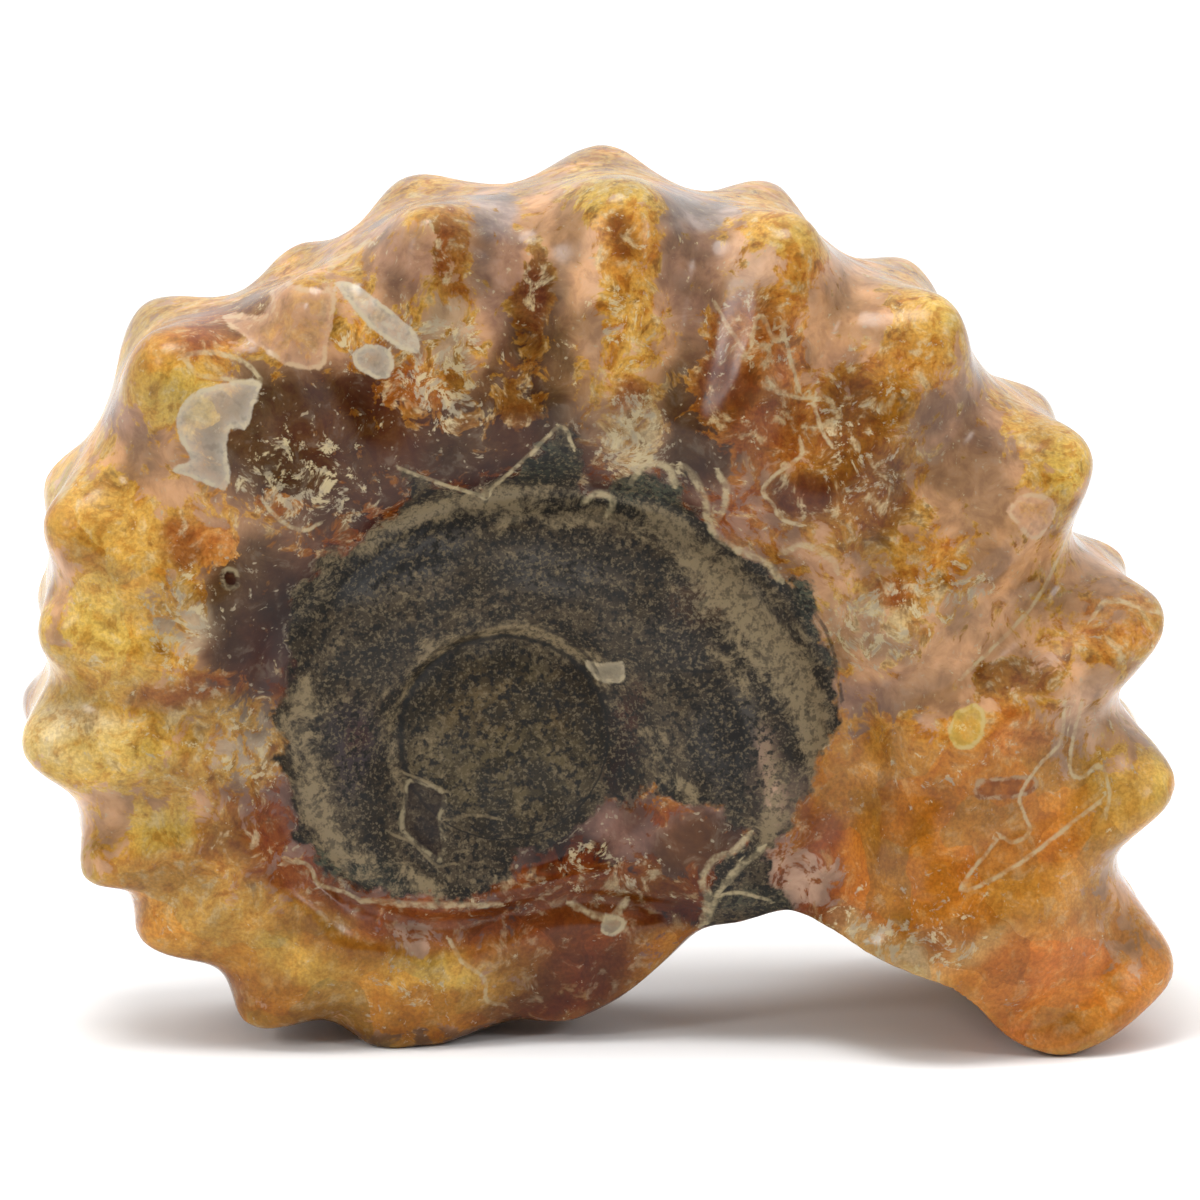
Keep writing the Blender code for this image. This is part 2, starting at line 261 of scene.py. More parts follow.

# Clouds of colour in the calcite, some of them painted shade, highlight and reflection as noted at each:
# tone, place from the coil's axis, half width and height, strength, and the turn in degrees where there is
# one
stoneDabs = (
    # The next four dark clouds on the upper flank beside the seam are the calcite's dark colour over matrix
    # and also painted shade of the umbilical wall that faces down
    ("smoke", -14.2, 22.6, 7.5, 5.4, 0.9),
    ("darkRed", -7.6, 23.7, 4.1, 3.4, 0.9),
    ("smoke", -2.3, 22.7, 4.1, 3.7, 0.85),
    ("darkRed", 0, 26.4, 2.2, 4.7, 0.8),
    ("smoke", -17.4, 11.8, 3.7, 5.1, 0.9),
    ("darkRed", -18.4, 8.1, 2.8, 2.8, 0.8),
    ("redBrown", -18.9, 30, 4.1, 1.2, 0.8, -20),
    ("honey", -21.3, 28.8, 3.1, 3.1, 0.8),
    ("lemon", -21.8, 25.8, 2.6, 2.6, 0.8),
    ("mauve", -25.9, 23.2, 3.7, 1.8, 0.8, 35),
    ("peach", -24.1, 19.7, 4.1, 2.7, 0.7),
    ("amber", -27.2, 16.2, 4.1, 3.7, 0.8),
    ("lemon", -26.2, 10.1, 4.2, 3.4, 0.75),
    ("amber", -28.9, 5.7, 3.4, 2.6, 0.7),
    ("cream", -29.1, 2.3, 3.4, 2, 0.8),
    ("lemon", -27, 1.3, 4.1, 2, 0.7),
    ("peach", -30.3, 11.9, 1.1, 4.1, 0.7),
    ("rust", -22, 15.5, 1.4, 1.9, 0.85),
    ("orange", -19.9, 15.3, 1.5, 1.5, 0.8),
    ("milk", -22.1, 10.5, 2, 2.8, 0.6),
    ("rust", -22, 5.6, 4.1, 1.2, 0.8, -8),
    ("amber", -18.3, 1.7, 4.1, 3.4, 0.8),
    ("milk", -18, 1.7, 2.7, 2.7, 0.5),
    ("ochre", -18.4, -4.8, 2.8, 1.5, 0.7),
    ("rust", -16.5, -4.8, 1.6, 0.9, 0.8),
    ("peach", -27.5, -4.7, 2.4, 3.3, 0.7),
    ("honey", -23.1, -8.5, 5.1, 4.1, 0.6),
    ("amber", -18.1, -11.2, 7.5, 3.1, 0.7, 15),
    ("golden", -12.4, -13.6, 6.1, 3.1, 0.7, 15),
    ("amber", -7.6, -15.3, 5.4, 2, 0.6),
    ("golden", -6.3, -16.5, 4.1, 1.7, 0.6),
    # painted shade: the dark umber strip along the very bottom, where the stone meets the table
    ("umber", -5.5, -19.5, 9.5, 0.9, 0.8),
    ("redBrown", 4.3, -15.1, 5.1, 3.1, 0.8, -30),
    ("rust", 6, -10.2, 5.4, 2.7, 0.8, -15),
    ("rust", 11.9, -6, 4.4, 3.1, 0.8),
    ("ochre", 8.7, -8.3, 3.4, 2.4, 0.7),
    ("paleRose", -6.9, -12.4, 1.5, 1.5, 0.8),
    ("rust", -14.3, -7.9, 3.4, 1.2, 0.8, 20),
    ("rust", -6.2, -10.4, 6.1, 0.7, 0.6, 5),
    ("redBrown", -4.8, 36.1, 1.1, 3.7, 0.8),
    ("amber", -5.8, 37.2, 2.8, 0.9, 0.7, -5),
    ("mauve", -7.2, 34.2, 2.4, 2.7, 0.8),
    # the calcite's milky tone with painted reflection: the mauve and grey veil in the furrow between two
    # ribs, in this row and the next
    ("mauve", -0.8, 33.7, 2, 4.4, 0.85),
    ("greyVeilAndSheen", -1, 37, 1.8, 1.8, 0.7),
    ("milk", -4.6, 30, 1.6, 3, 0.4),
    ("ochre", -9.2, 26.3, 2.3, 2.2, 0.8),
    ("lemon", 6, 39.2, 3.7, 2.8, 0.85),
    ("honey", 7.2, 35.5, 2.3, 3.1, 0.8),
    ("ochre", 7.2, 36.3, 0.8, 1.5, 0.8),
    ("peach", 3.4, 34.1, 2.4, 5.1, 0.85),
    ("paleRose", 6.2, 30.6, 1.9, 3.7, 0.5),
    ("amber", 7.5, 30.6, 2, 3.6, 0.6),
    ("cream", 7.7, 23.1, 2.4, 3.1, 0.6),
    ("redBrown", 1.8, 32.8, 1.2, 3.1, 0.8),
    ("smoke", 2, 27.6, 2.3, 5.8, 0.85),
    # the calcite's milky tone with painted reflection: the mauve and grey veil in the furrow between two
    # ribs, in this row and the next
    ("mauve", 11.8, 33.9, 2.4, 5.8, 0.85),
    ("greyVeilAndSheen", 13.1, 37.1, 3.1, 1.2, 0.8),
    ("smoke", 12.2, 23.7, 2.8, 6.1, 0.9),
    ("amber", 18.8, 36.5, 3.5, 2.4, 0.85),
    ("lemon", 19.4, 35.5, 2.4, 1.6, 0.6),
    ("honey", 19.3, 32.7, 2.7, 2.7, 0.75),
    # painted highlight: a pink glint on the rib
    ("paleRose", 16.3, 33.8, 2.2, 1.9, 0.75),
    ("rust", 15.7, 28.6, 3.3, 4.2, 0.8),
    ("orange", 17.2, 27.6, 2.3, 3.1, 0.7),
    ("redBrown", 13.7, 25.8, 1.9, 3.1, 0.8),
    ("ochre", 16.3, 24.4, 2.7, 2, 0.8),
    ("peach", 22.4, 29.8, 3, 5.4, 0.85),
    ("mauve", 21.9, 25.7, 2, 2.7, 0.5),
    ("amber", 27.9, 30.5, 2.4, 3.1, 0.8),
    ("lemon", 29.1, 31, 1.9, 1.6, 0.7),
    ("honey", 26.6, 26.8, 3.1, 2.4, 0.75),
    ("golden", 23.1, 21.7, 3.8, 7.1, 0.85, 5),
    ("ochre", 22.2, 23.2, 2.4, 4.1, 0.8, 5),
    ("ochre", 24.2, 18.5, 2, 3.4, 0.8),
    ("redBrown", 19.1, 18.8, 2.8, 1.9, 0.9),
    ("mauve", 30.2, 22, 3.3, 5.6, 0.7, -20),
    ("peach", 30.7, 18.2, 3.4, 3.4, 0.7),
    ("amber", 35.9, 22.2, 3.1, 2.8, 0.8),
    ("lemon", 36.9, 20.5, 1.6, 2.2, 0.8),
    ("honey", 28.9, 14.2, 4.7, 2.4, 0.7, -10),
    ("golden", 25.8, 12.5, 2.3, 1.4, 0.6),
    ("peach", 33, 14.2, 3.4, 3.1, 0.7),
    ("peach", 39.6, 11.4, 3, 2.7, 0.7),
    ("orange", 40.6, 9.5, 3.1, 2.7, 0.6),
    ("cream", 24.2, 9.6, 3, 2.3, 0.55),
    ("peach", 23, 8.9, 2.6, 2, 0.6),
    ("rust", 25, 12.4, 1.5, 1.2, 0.8),
    ("mauve", 25.1, 5.4, 4.5, 1.4, 0.8, -25),
    ("peach", 29.9, 7.3, 5.4, 2.7, 0.8, -25),
    ("ochre", 33.1, 6.2, 3.7, 1.2, 0.75, -8),
    ("honey", 29.6, -1, 8.8, 5.1, 0.75),
    ("golden", 26.6, -2.5, 4.1, 2.3, 0.7, -15),
    ("orange", 33.7, 2.6, 2.4, 1.8, 0.75),
    ("honey", 28.2, -7.1, 6.4, 4.1, 0.7),
    ("golden", 27.5, -10.3, 4.1, 1.5, 0.7),
    ("orange", 33.8, -5.4, 4.7, 1.8, 0.6, -10),
    ("cream", 24.9, -11.9, 4.1, 1.4, 0.55, 20),
    ("cream", 31.2, -11.5, 2.7, 1.1, 0.5, -30),
    # painted reflection: pale rose where the edge slopes away and mirrors the white surroundings
    ("paleRose", 37.9, 2.8, 2.3, 4.2, 0.75, 15),
    ("peach", 42.2, 2.3, 2.3, 4.1, 0.8, 10),
    ("amber", 42.3, -2.1, 2.3, 2, 0.8),
    ("lemon", 43.6, -1.1, 0.8, 1.9, 0.7),
    # painted reflection: pale rose where the edge slopes away and mirrors the white surroundings
    ("paleRose", 40.3, -8.6, 2.3, 2.4, 0.7),
    ("orange", 36.5, -13.4, 5.4, 3.1, 0.7),
    ("honey", 38.2, -16.6, 4.7, 2.3, 0.7, -20),
    ("peach", 41.4, -12.2, 2.8, 4.2, 0.7),
    ("orange", 35.5, -18.6, 3.4, 1.1, 0.7),
    ("rust", 20.6, -5.1, 1.5, 2.6, 0.85),
    ("paleRose", 19.5, -7.8, 3, 2.3, 0.8),
    ("smoke", 14.1, -4.5, 3, 1.5, 0.8),
    ("mauve", 7, -4.6, 4.2, 1.7, 0.85, 12),
    ("umber", 12.2, -5.6, 2.8, 2.4, 0.9),
    ("rust", 4, -8, 5, 1.6, 0.6, -8),
    # the next two are the same mix of dark calcite and painted shade beside the seam above the coil
    ("darkRed", -11, 25.6, 3.6, 2.2, 0.8, 10),
    ("redBrown", -4.5, 24.6, 3.4, 1.8, 0.55),
    ("lemon", -14.5, -13.2, 3.6, 1.6, 0.7, 25),
    ("lemon", -5.5, -14.6, 3.6, 1.3, 0.6),
    ("lemon", -23.5, -4, 2.6, 1.8, 0.6),
    # painted shade along the bottom edge
    ("redBrown", 0.8, -17.8, 4, 1.2, 0.7, -5),
    ("rust", -3.9, 34.6, 1.3, 3.4, 0.7),
    ("redBrown", 1.3, 31, 1.5, 3.2, 0.8),
    # the next three are the same mix of dark calcite and painted shade beside the seam above the coil
    ("rust", -6.8, 26.2, 2.6, 1.6, 0.7),
    ("redBrown", 0.7, 25.6, 2.2, 3, 0.7),
    ("darkRed", 2.9, 21.8, 2.4, 2, 0.7),
    ("rust", 7.5, 26, 1.3, 1.2, 0.8),
    ("rust", 16.8, 22.6, 3.6, 2.4, 0.7),
    # the same mix of dark calcite and painted shade beside the seam above the coil
    ("darkRed", -12.5, 22.8, 3, 1.8, 0.7),
    ("rust", -20.4, 29.2, 2.2, 0.9, 0.7, -15),
    ("rust", -15.4, 18.6, 2, 1.2, 0.7),
)

# The same for the dark matrix that fills the inner whorl and the plug
matrixDabs = (
    ("greenish", 9.4, 18.6, 2.6, 1.5, 0.8),
    ("greenish", -11, -7.2, 4.1, 1.1, 0.9, 22),
    ("greenish", 20.7, 9.9, 1.2, 4.1, 0.9, -25),
    ("greenish", 1.8, 20.8, 2.3, 1.6, 0.8),
    ("greenish", 16.8, -9.8, 2.7, 1.2, 0.5),
    ("violet", -10.8, 1.6, 1.8, 3.4, 0.8),
    ("darkRed", -10.4, 2.2, 0.9, 1.5, 0.5),
    ("darkRed", 7.6, 1.3, 0.9, 4.2, 0.7, 10),
    ("blueGrey", -7.5, 14.2, 5.4, 1.8, 0.8, -25),
    ("blueGrey", 14.5, 1.8, 2.3, 4.1, 0.7),
    ("black", 11.2, 8.7, 2, 3.4, 0.7, -30),
    ("black", 13.5, 0.4, 2, 2.7, 0.6),
    ("blueGrey", 3.1, 13.5, 4.1, 2, 0.6),
    ("umber", 12.5, 11.4, 2, 2, 0.5),
    ("paleRose", 7.3, -4.2, 2.3, 1.5, 0.5, -30),
    ("paleRose", 18.6, -2.5, 1.6, 2.3, 0.6, 20),
    ("paleRose", 17.2, -1, 1.4, 4.1, 0.3),
    ("olive", -0.5, 1.3, 6.5, 6.5, 1),
    ("oliveBrown", 4, 4.2, 2, 2.7, 0.5),
    ("oliveBrown", -2.1, 4.3, 3.4, 2.7, 0.4),
)

# Edge of the dark matrix, round the inner whorl and up into the corner above it
matrixOutline = (
    -15.4, 6.2, -16, 3.6, -15.5, 0.4, -14.7, -2.9, -15.1, -5.1, -13.4, -6.3, -12.3, -8.1, -9.6, -8.5,
    -5.6, -9.3, -3.5, -9.8, -1.4, -9.5, -0.7, -8.2, 0.8, -6.7, 3.3, -5.4, 5.3, -3.8, 7.4, -2.9, 9.4, -2,
    11.9, -2.5, 14, -3.3, 16.1, -5, 14.9, -6.1, 13.7, -6.8, 13.1, -8.5, 13.1, -12.3, 16, -11.4,
    19.4, -10.5, 18.1, -8.9, 17, -6.9, 18.4, -4.6, 19.9, -2, 20.8, 0.8, 21.9, 2.8, 21.6, 6, 21.1, 9.4,
    20, 11.9, 18, 13, 16.9, 13.8, 15.1, 14.6, 13.6, 15.6, 12.5, 16.7, 11.3, 19.6, 8.4, 20.4, 6.5, 18.8,
    5.2, 18.6, 3.9, 22.1, 3, 23.6, 1, 21.6, -2, 18.4, -4.9, 19.6, -7.7, 20.8, -6.9, 18.4, -8.6, 16.9,
    -11.3, 15.3, -14.2, 12.7, -15.3, 9.4,
)

# Worn tan bands along the inner whorl's crest: half width, then the points of the middle line
wornBands = (
    (0.8, -14.2, 5.3, -14.2, 0.5, -12.7, -4.4, -9.6, -7.2, -5.6, -8.8),
    (0.9, -14.2, 11.5, -10.8, 14.7, -5.5, 17.4, 0.5, 18, 5.8, 17.4, 11.2, 16),
    (1.6, 12.5, 14.1, 15.4, 10.7, 18.5, 6.5, 20.1, 2.8, 19.8, -1.1, 17.8, -4.4),
    (0.5, 9.6, 1.9, 10.5, -0.5, 11.9, -2.5),
    (0.9, 11.8, 13.4, 13.8, 10, 16.5, 5.9),
)

# Shell walls that the polish cuts through, as thin lines: the points of each, by tone and half width
inlaidLines = {
    ("cream", 0.14): (
        (-7.7, 20.8, -4.9, 19.6, -2, 18.4),
        (-1.5, 18.9, 1, 21.6, 3, 23.6, 3.9, 22.1),
        (18.9, 22.5, 19, 21.6, 17.8, 20.7, 16.8, 19.9, 16.4, 19.1, 17.1, 18.2, 17.6, 17.3, 18.9, 16.9),
        (13.4, 31.4, 14.3, 29.8, 15.2, 28.4),
        (15.6, 29, 16, 30.6, 16.4, 30.8, 16.9, 29.6, 17.4, 29.1, 17.9, 30.2),
        (17.7, 30.4, 18.3, 27.8, 19, 25.7),
        (19.7, 25.4, 20.4, 23.1, 20.9, 22.3),
        (36.7, 4.7, 36.6, 1.8, 35.1, 0.4, 33.7, -1.6, 34.1, -3, 34.5, -4.2, 33.4, -4.9, 32.4, -4.3),
        (38, 4.4, 37.5, 1.7, 37.3, -0.3, 38.2, -0.9, 39.4, -0.1, 40.1, -1.9, 39.7, -3.4),
        (37.1, 14.2, 35.1, 11, 32.5, 8.6, 29.8, 6.5),
        (-15.5, -6.7, -14.3, -6.7, -13.5, -7.3, -13.1, -8.3, -11.3, -8.9, -10.3, -9.5),
        (-4.2, -12.4, -3.5, -13.7, -1.9, -15.1, -1.7, -16.8, -0.5, -17.3),
        (13.9, -9.3, 15.4, -9.1, 17.5, -9.9),
        (-27, 22.6, -28.8, 19.8, -30.2, 18.1),
        (-12, 33.4, -10.4, 34.3, -9.2, 35),
        (-16.7, 18.7, -15.6, 17.4, -14.1, 16.6, -12.9, 17.1),
        (32.4, -4.4, 29.6, -7.8, 33, -6.6, 39.4, -2.5),
        (43.6, 10, 40.2, 10.9, 38.7, 9.7),
        (20.3, 25.1, 18.6, 25.3, 16.9, 26.3),
    ),
    ("cream", 0.24): (
        (7.9, 19.5, 8.4, 20.6, 9.3, 21, 10.3, 20.6, 10.7, 19.4),
        (11.1, 20.8, 11.9, 20, 12.7, 18.3, 13, 16.6),
        (13.4, 20.5, 14, 19.2, 13.9, 17.6, 13.3, 16.5, 13.6, 15.6, 15.1, 14.6, 16.9, 13.8, 17.9, 12.6),
        (17.9, 14.7, 19.2, 15.5, 20.8, 14.7, 21.4, 13.7),
        (4.8, 18, 5.7, 18.6, 6.7, 18.1, 6.4, 17.3),
        (15.9, -4.8, 14.9, -6, 13.4, -6.7, 12.8, -8.2, 13.2, -10.1, 12.9, -11.8),
        (16.8, -5.8, 15.1, -7.4, 13.9, -9.3, 13.3, -11.6),
        (-10.3, -9.5, -6.2, -9.7, -0.8, -9.9),
        (4, -10, 5.5, -10.8, 6.8, -11, 7.8, -9.9),
    ),
    ("tan", 0.1): (
        (-7.2, -0.8, -5.9, -1.2, -4.4, -2),
        (-8.2, -4.7, -6.6, -5.6, -5.1, -7.1, -4, -7),
        (-4.4, -4, -2.8, -3.6, -0.8, -3.9),
    ),
    ("dark", 0.13): (
        (-5.4, 7.7, -2.8, 9.1, 0.5, 9.7, 3.4, 8.7, 5.4, 6.8, 6.4, 4.1),
        (-15.3, 1.7, -14.8, -0.5, -14.2, -3.1),
        (22.1, 4.3, 21.2, 8.5, 19.6, 11.3),
    ),
    ("cream", 0.16): (
        (
            -21.9, 28.1, -20.7, 28.3, -19.1, 28.1, -17.5, 27.4, -16.8, 26.3, -19.1, 26.6, -20.9, 27,
            -21.9, 28.1,
        ),
    ),
}

# Splinters of shell and crystal seen through the polish: tone, then the points of the outline
chips = (
    (
        "shellPink", -19.9, 30.6, -18.4, 29.4, -16.4, 28.3, -15.2, 27.5, -12.8, 27.3, -12.3, 28.9,
        -12, 30.1, -11.7, 32.3, -12.8, 32.5, -15, 32.6, -16.1, 32.6, -15.9, 31.4, -16.4, 30.5,
        -17.5, 30.2, -19, 30.2,
    ),
    (
        "greyCream", -11.9, 32.9, -10.3, 32.6, -8.5, 31.4, -6.5, 29.8, -6.3, 28.6, -7.4, 28.6, -9.2, 29.8,
        -10.7, 31.4,
    ),
    ("greyCream", -10.7, 28.3, -9.9, 28.9, -8.5, 28.7, -7.9, 27.6, -8.5, 26.7, -9.6, 26.9, -10.5, 27.5),
    (
        "greyCream", -22.4, 23.6, -22.2, 24.6, -21.4, 25.7, -20.1, 26.2, -18.5, 26.5, -16.7, 26.3,
        -17.1, 25, -17.8, 23.4, -18.7, 23.6, -19.1, 22.2, -18.9, 20.8, -19.1, 19.3, -20.7, 19.8,
        -22.9, 20.5, -21.4, 21.3, -21.9, 22.2,
    ),
    ("shellPink", 32.6, 17.6, 33.6, 18.5, 34.7, 18.7, 36, 18.1, 36, 16.7, 34.7, 15.4, 33.7, 16.3),
    ("milk", 4.8, 7, 5.9, 6.8, 7.4, 7, 7.5, 5.6, 6.3, 5.3, 5.5, 5.7),
    ("lemon", 29.2, 4.3, 30.6, 4.8, 31.2, 4.1, 30.9, 2.4, 29.5, 1.8, 28.7, 2.8),
    ("rust", 30.5, -0.2, 34.7, -0.3, 34.5, -1.6, 30.8, -1.6),
    ("milk", 6.3, -10.7, 7.8, -11.2, 7, -12.3, 6, -11.9),
    ("darkRed", -19.7, 13.4, -19.3, 14, -18.5, 14, -18.2, 13.3, -18.5, 12.7, -19.3, 12.7),
    (
        "smoke", -7.2, -1.1, -5.5, -1.3, -4.4, -2.3, -4.8, -3.8, -4.4, -5.7, -4.9, -6.9, -6.2, -5.9,
        -7.6, -4.6, -7.3, -2.6,
    ),
)

# Where the calcite breaks into pale flakes: place, half width and height, amount
flakes = (
    (-4.9, 27.4, 3.4, 4.1, 1),
    (7.6, 22.7, 2.7, 4.1, 1),
    (7.2, 30.6, 2, 3.4, 0.6),
    (-22.2, 10.5, 2.7, 4.1, 0.9),
    (-14.2, 20, 4.1, 3.4, 0.9),
    (-11.3, 18.6, 2, 2.7, 0.7),
    (23.5, 22.6, 4.1, 7.5, 0.5),
    (28.2, 12.5, 4.7, 2, 0.8),
    (24.2, 9.5, 3.4, 2.4, 1),
    (25.6, -11.5, 6.1, 2, 0.9),
    (38.8, 1.5, 4.1, 4.1, 0.4),
    (-18.3, 0.6, 4.1, 3.4, 0.6),
    (-8.8, 29.8, 3.4, 2.7, 0.7),
    (-27.6, 2.2, 4.1, 2, 0.4),
    (6, -7.6, 4.1, 2.7, 0.6),
    (29.6, -8.5, 4.1, 2.7, 0.5),
    (29.5, 1.1, 5.4, 4.1, 0.4),
    (-6.9, -15.7, 4.1, 2.7, 0.5),
    (16.2, 29.9, 3.4, 2.7, 0.5),
    (37.4, 21.7, 2, 2, 0.5),
    (5.9, 38.8, 2.7, 2.7, 0.4),
)

stonePaint = {
    "wander": 0.75,  # how far the clouds' edges stray, in mm
    "wanderScale": 2.6,
    "wanderSeeds": ((0.3, 5.1, 9.7), (8.2, 1.6, 4.4)),
    "backTurn": 31.0,  # the far side has the same kinds of marks, turned on by this angle
    "backScale": 1.07,
    "middleBlend": 5.0,  # mm over which the two sides meet
    "markDepth": 4.0,  # lines and splinters stay this far from the middle of the thickness
    "nowhere": (30.0, 3.0),  # the side of a line and the distance to a mark where there is none
    "seamBlend": (0.05, 0.4),  # share of the way from seam to rim where the tones change, and over how much
    "rimBlend": (0.5, 0.4),
    "clearness": 0.48,
    "rimClearness": 0.12,
    "dabClearness": 0.9,
    "facetClearness": 0.30,
    "fewFlakes": 0.12,
    "plugLight": 2.0,  # radians, towards the plug's upper left, where its painted shade and highlight are strongest
    "ringPlace": 0.8,  # mm outside the plug's edge
    "ringLight": 0.3,
    "creaseHalf": (0.1, 0.22, 0.4),  # half width, what the light side adds, and the light everywhere
    # fades: where they end, their width, and for some the most that they give
    "dabFade": (1.3, 0.75),
    "flakeFade": (1.4, 0.9),
    "wornFade": (2.0, 1.6),
    "ringFade": (1.2, 1.1, 0.8),
    "facetsRight": (-14.0, 10.0),
    "facetsDown": (6.0, 8.0),
    "facetsBelow": (-7.0, 5.0, 0.9),
    "facetsLeft": (-17.0, 8.0, 0.5),
    "streakShape": (2.6, 0.04, 1.3, 3.0),
    "clouds": (3.4, (2.2, 9.1, 6.3), 3),  # scale in mm, seed and octaves
    "raggedness": (2.1, (7.4, 0.8, 3.9), 4),
    "streaks": (1.0, (4.9, 6.6, 0.4), 4),
}


def fromCoilAxis(places):
    return places[:, [0, 2]] - np.array(stoneForm["axis"])


def turnedBack(flat):
    # where the far side reads its marks
    turn = math.radians(stonePaint["backTurn"])
    c, s = math.cos(turn), math.sin(turn)
    x = flat[:, 0] * c - flat[:, 1] * s
    z = flat[:, 0] * s + flat[:, 1] * c
    return np.stack([x, z], 1) * stonePaint["backScale"]


def pointsIn(row):
    # the x, z pairs of a table's row
    return list(zip(row[::2], row[1::2]))


def dabWeights(flat, dabs):
    for tone, x, z, wide, tall, strength, *turn in dabs:
        angle = math.radians(*turn or (0,))
        c, s = math.cos(angle), math.sin(angle)
        dx, dz = flat[:, 0] - x, flat[:, 1] - z
        away = np.hypot((dx * c - dz * s) / wide, (dx * s + dz * c) / tall)
        yield tone, (strength * fade(away, *stonePaint["dabFade"]))[:, None]


def calciteFields(flat):
    # the tone of the clear crystal, the tone of the cloudy calcite, and which of the two shows
    angles, seams, rims, *zoneTones = zip(*whorlZones)
    angle = (np.degrees(np.arctan2(flat[:, 1], flat[:, 0])) - angles[0]) % 360.0 + angles[0]
    seam = np.interp(angle, angles, seams)
    rim = np.interp(angle, angles, rims)
    share = (np.hypot(flat[:, 0], flat[:, 1]) - seam) / (rim - seam)
    blends = (stonePaint["seamBlend"], stonePaint["rimBlend"])
    toMiddle, toRim = (smooth((share - start) / width)[:, None] for start, width in blends)
    partners = {**clearTones, **cloudyTones}
    fields = []
    for kind in (clearTones, cloudyTones):
        rings = []
        for names in zoneTones:
            light = np.array([lightOf(name if name in kind else partners[name]) for name in names])
            rings.append(np.stack([np.interp(angle, angles, light[:, c]) for c in range(3)], 1))
        tone = rings[0] + (rings[1] - rings[0]) * toMiddle
        fields.append(tone + (rings[2] - tone) * toRim)
    clear, cloudy = fields
    clearness = stonePaint["clearness"] + stonePaint["rimClearness"] * toRim
    for name, weight in dabWeights(flat, stoneDabs):
        if name in clearTones:
            clear += (lightOf(name) - clear) * weight
            clearness += (1.0 - clearness) * weight * stonePaint["dabClearness"]
        else:
            cloudy += (lightOf(name) - cloudy) * weight
            clearness += (0.0 - clearness) * weight * stonePaint["dabClearness"]
    return clear, cloudy, clearness[:, 0]


def nearestOnPath(flat, path, closed=False):
    # distance to a line of points, and which side of it
    ends = path[1:] + (path[:1] if closed else [])
    best = np.full(len(flat), 99.0)
    side = np.zeros(len(flat))
    for (ax, az), (bx, bz) in zip(path, ends):
        ux, uz = bx - ax, bz - az
        length = max(ux * ux + uz * uz, 1e-9)
        dx, dz = flat[:, 0] - ax, flat[:, 1] - az
        t = np.clip((dx * ux + dz * uz) / length, 0.0, 1.0)
        away = np.hypot(dx - t * ux, dz - t * uz)
        cross = (ux * dz - uz * dx) / math.sqrt(length)
        nearer = away < best
        best = np.where(nearer, away, best)
        side = np.where(nearer, cross, side)
    return best, np.where(side < 0, -1.0, 1.0)


def insideOutline(flat, outline):
    # signed distance to a closed outline, less than 0 inside it
    away, _ = nearestOnPath(flat, outline, closed=True)
    inside = np.zeros(len(flat), dtype=bool)
    for (ax, az), (bx, bz) in zip(outline, outline[1:] + outline[:1]):
        if az == bz:
            continue
        crosses = (az > flat[:, 1]) != (bz > flat[:, 1])
        inside ^= crosses & (flat[:, 0] < (bx - ax) * (flat[:, 1] - az) / (bz - az) + ax)
    return np.where(inside, -away, away)


def roundedPath(path, steps=4):
    # a smooth curve through the points
    points = [np.array(p) for p in path]
    if len(points) < 3:
        return path
    points = [2 * points[0] - points[1]] + points + [2 * points[-1] - points[-2]]
    curve = []
    for a, b, c, d in zip(points, points[1:], points[2:], points[3:]):
        for k in range(steps):
            t = k / steps
            bend = (2 * a - 5 * b + 4 * c - d) * t**2 + (3 * b - a - 3 * c + d) * t**3
            curve.append(0.5 * (2 * b + (c - a) * t + bend))
    curve.append(points[-2])
    return [tuple(p) for p in curve]


def lineFields(flat):
    # the side of the nearest line in half widths, its distance in mm, and its tone
    side, near = (np.full(len(flat), far) for far in stonePaint["nowhere"])
    tone = np.tile(lightOf("cream"), (len(flat), 1))
    for (name, half), rows in inlaidLines.items():
        for row in rows:
            away, sign = nearestOnPath(flat, roundedPath(pointsIn(row)))
            nearer = away < near
            near = np.where(nearer, away, near)
            side = np.where(nearer, sign * away / half, side)
            tone[nearer] = lightOf(name)
    return side, near, tone


def chipFields(flat):
    # signed distance to the nearest splinter's edge, and its tone
    edge = np.full(len(flat), stonePaint["nowhere"][1])
    tone = np.tile(lightOf("greyCream"), (len(flat), 1))
    for name, *row in chips:
        outline = pointsIn(row)
        away = insideOutline(flat, roundedPath(outline + outline[:1], 3))
        nearer = away < edge
        edge = np.where(nearer, away, edge)
        tone[nearer] = lightOf(name)
    return edge, tone


def flakeField(flat):
    amount = np.full(len(flat), stonePaint["fewFlakes"])
    for x, z, wide, tall, strength in flakes:
        away = np.hypot((flat[:, 0] - x) / wide, (flat[:, 1] - z) / tall)
        amount = np.maximum(amount, strength * fade(away, *stonePaint["flakeFade"]))
    return amount


def fromPlugEdge(flat):
    x, z = stoneForm["plugMiddle"]
    return np.hypot(flat[:, 0] - x, flat[:, 1] - z) - stoneForm["plugRadius"]


def plugLight(flat, least):
    # how strongly the painted shade in the plug's groove and the painted highlight on its worn ring show,
    # most at its upper left, towards the light
    angle = np.arctan2(flat[:, 1], flat[:, 0])
    return smooth(np.cos(angle - stonePaint["plugLight"]) + least)


def wornField(flat):
    paint = stonePaint
    amount = np.zeros(len(flat))
    for half, *row in wornBands:
        away, _ = nearestOnPath(flat, roundedPath(pointsIn(row)))
        amount = np.maximum(amount, fade(away / half, *paint["wornFade"]))
    # the worn ring beside the plug is wear, made brighter towards the light as a painted highlight
    ring = np.abs(fromPlugEdge(flat) - paint["ringPlace"])
    return np.maximum(amount, fade(ring, *paint["ringFade"]) * plugLight(flat, paint["ringLight"]))


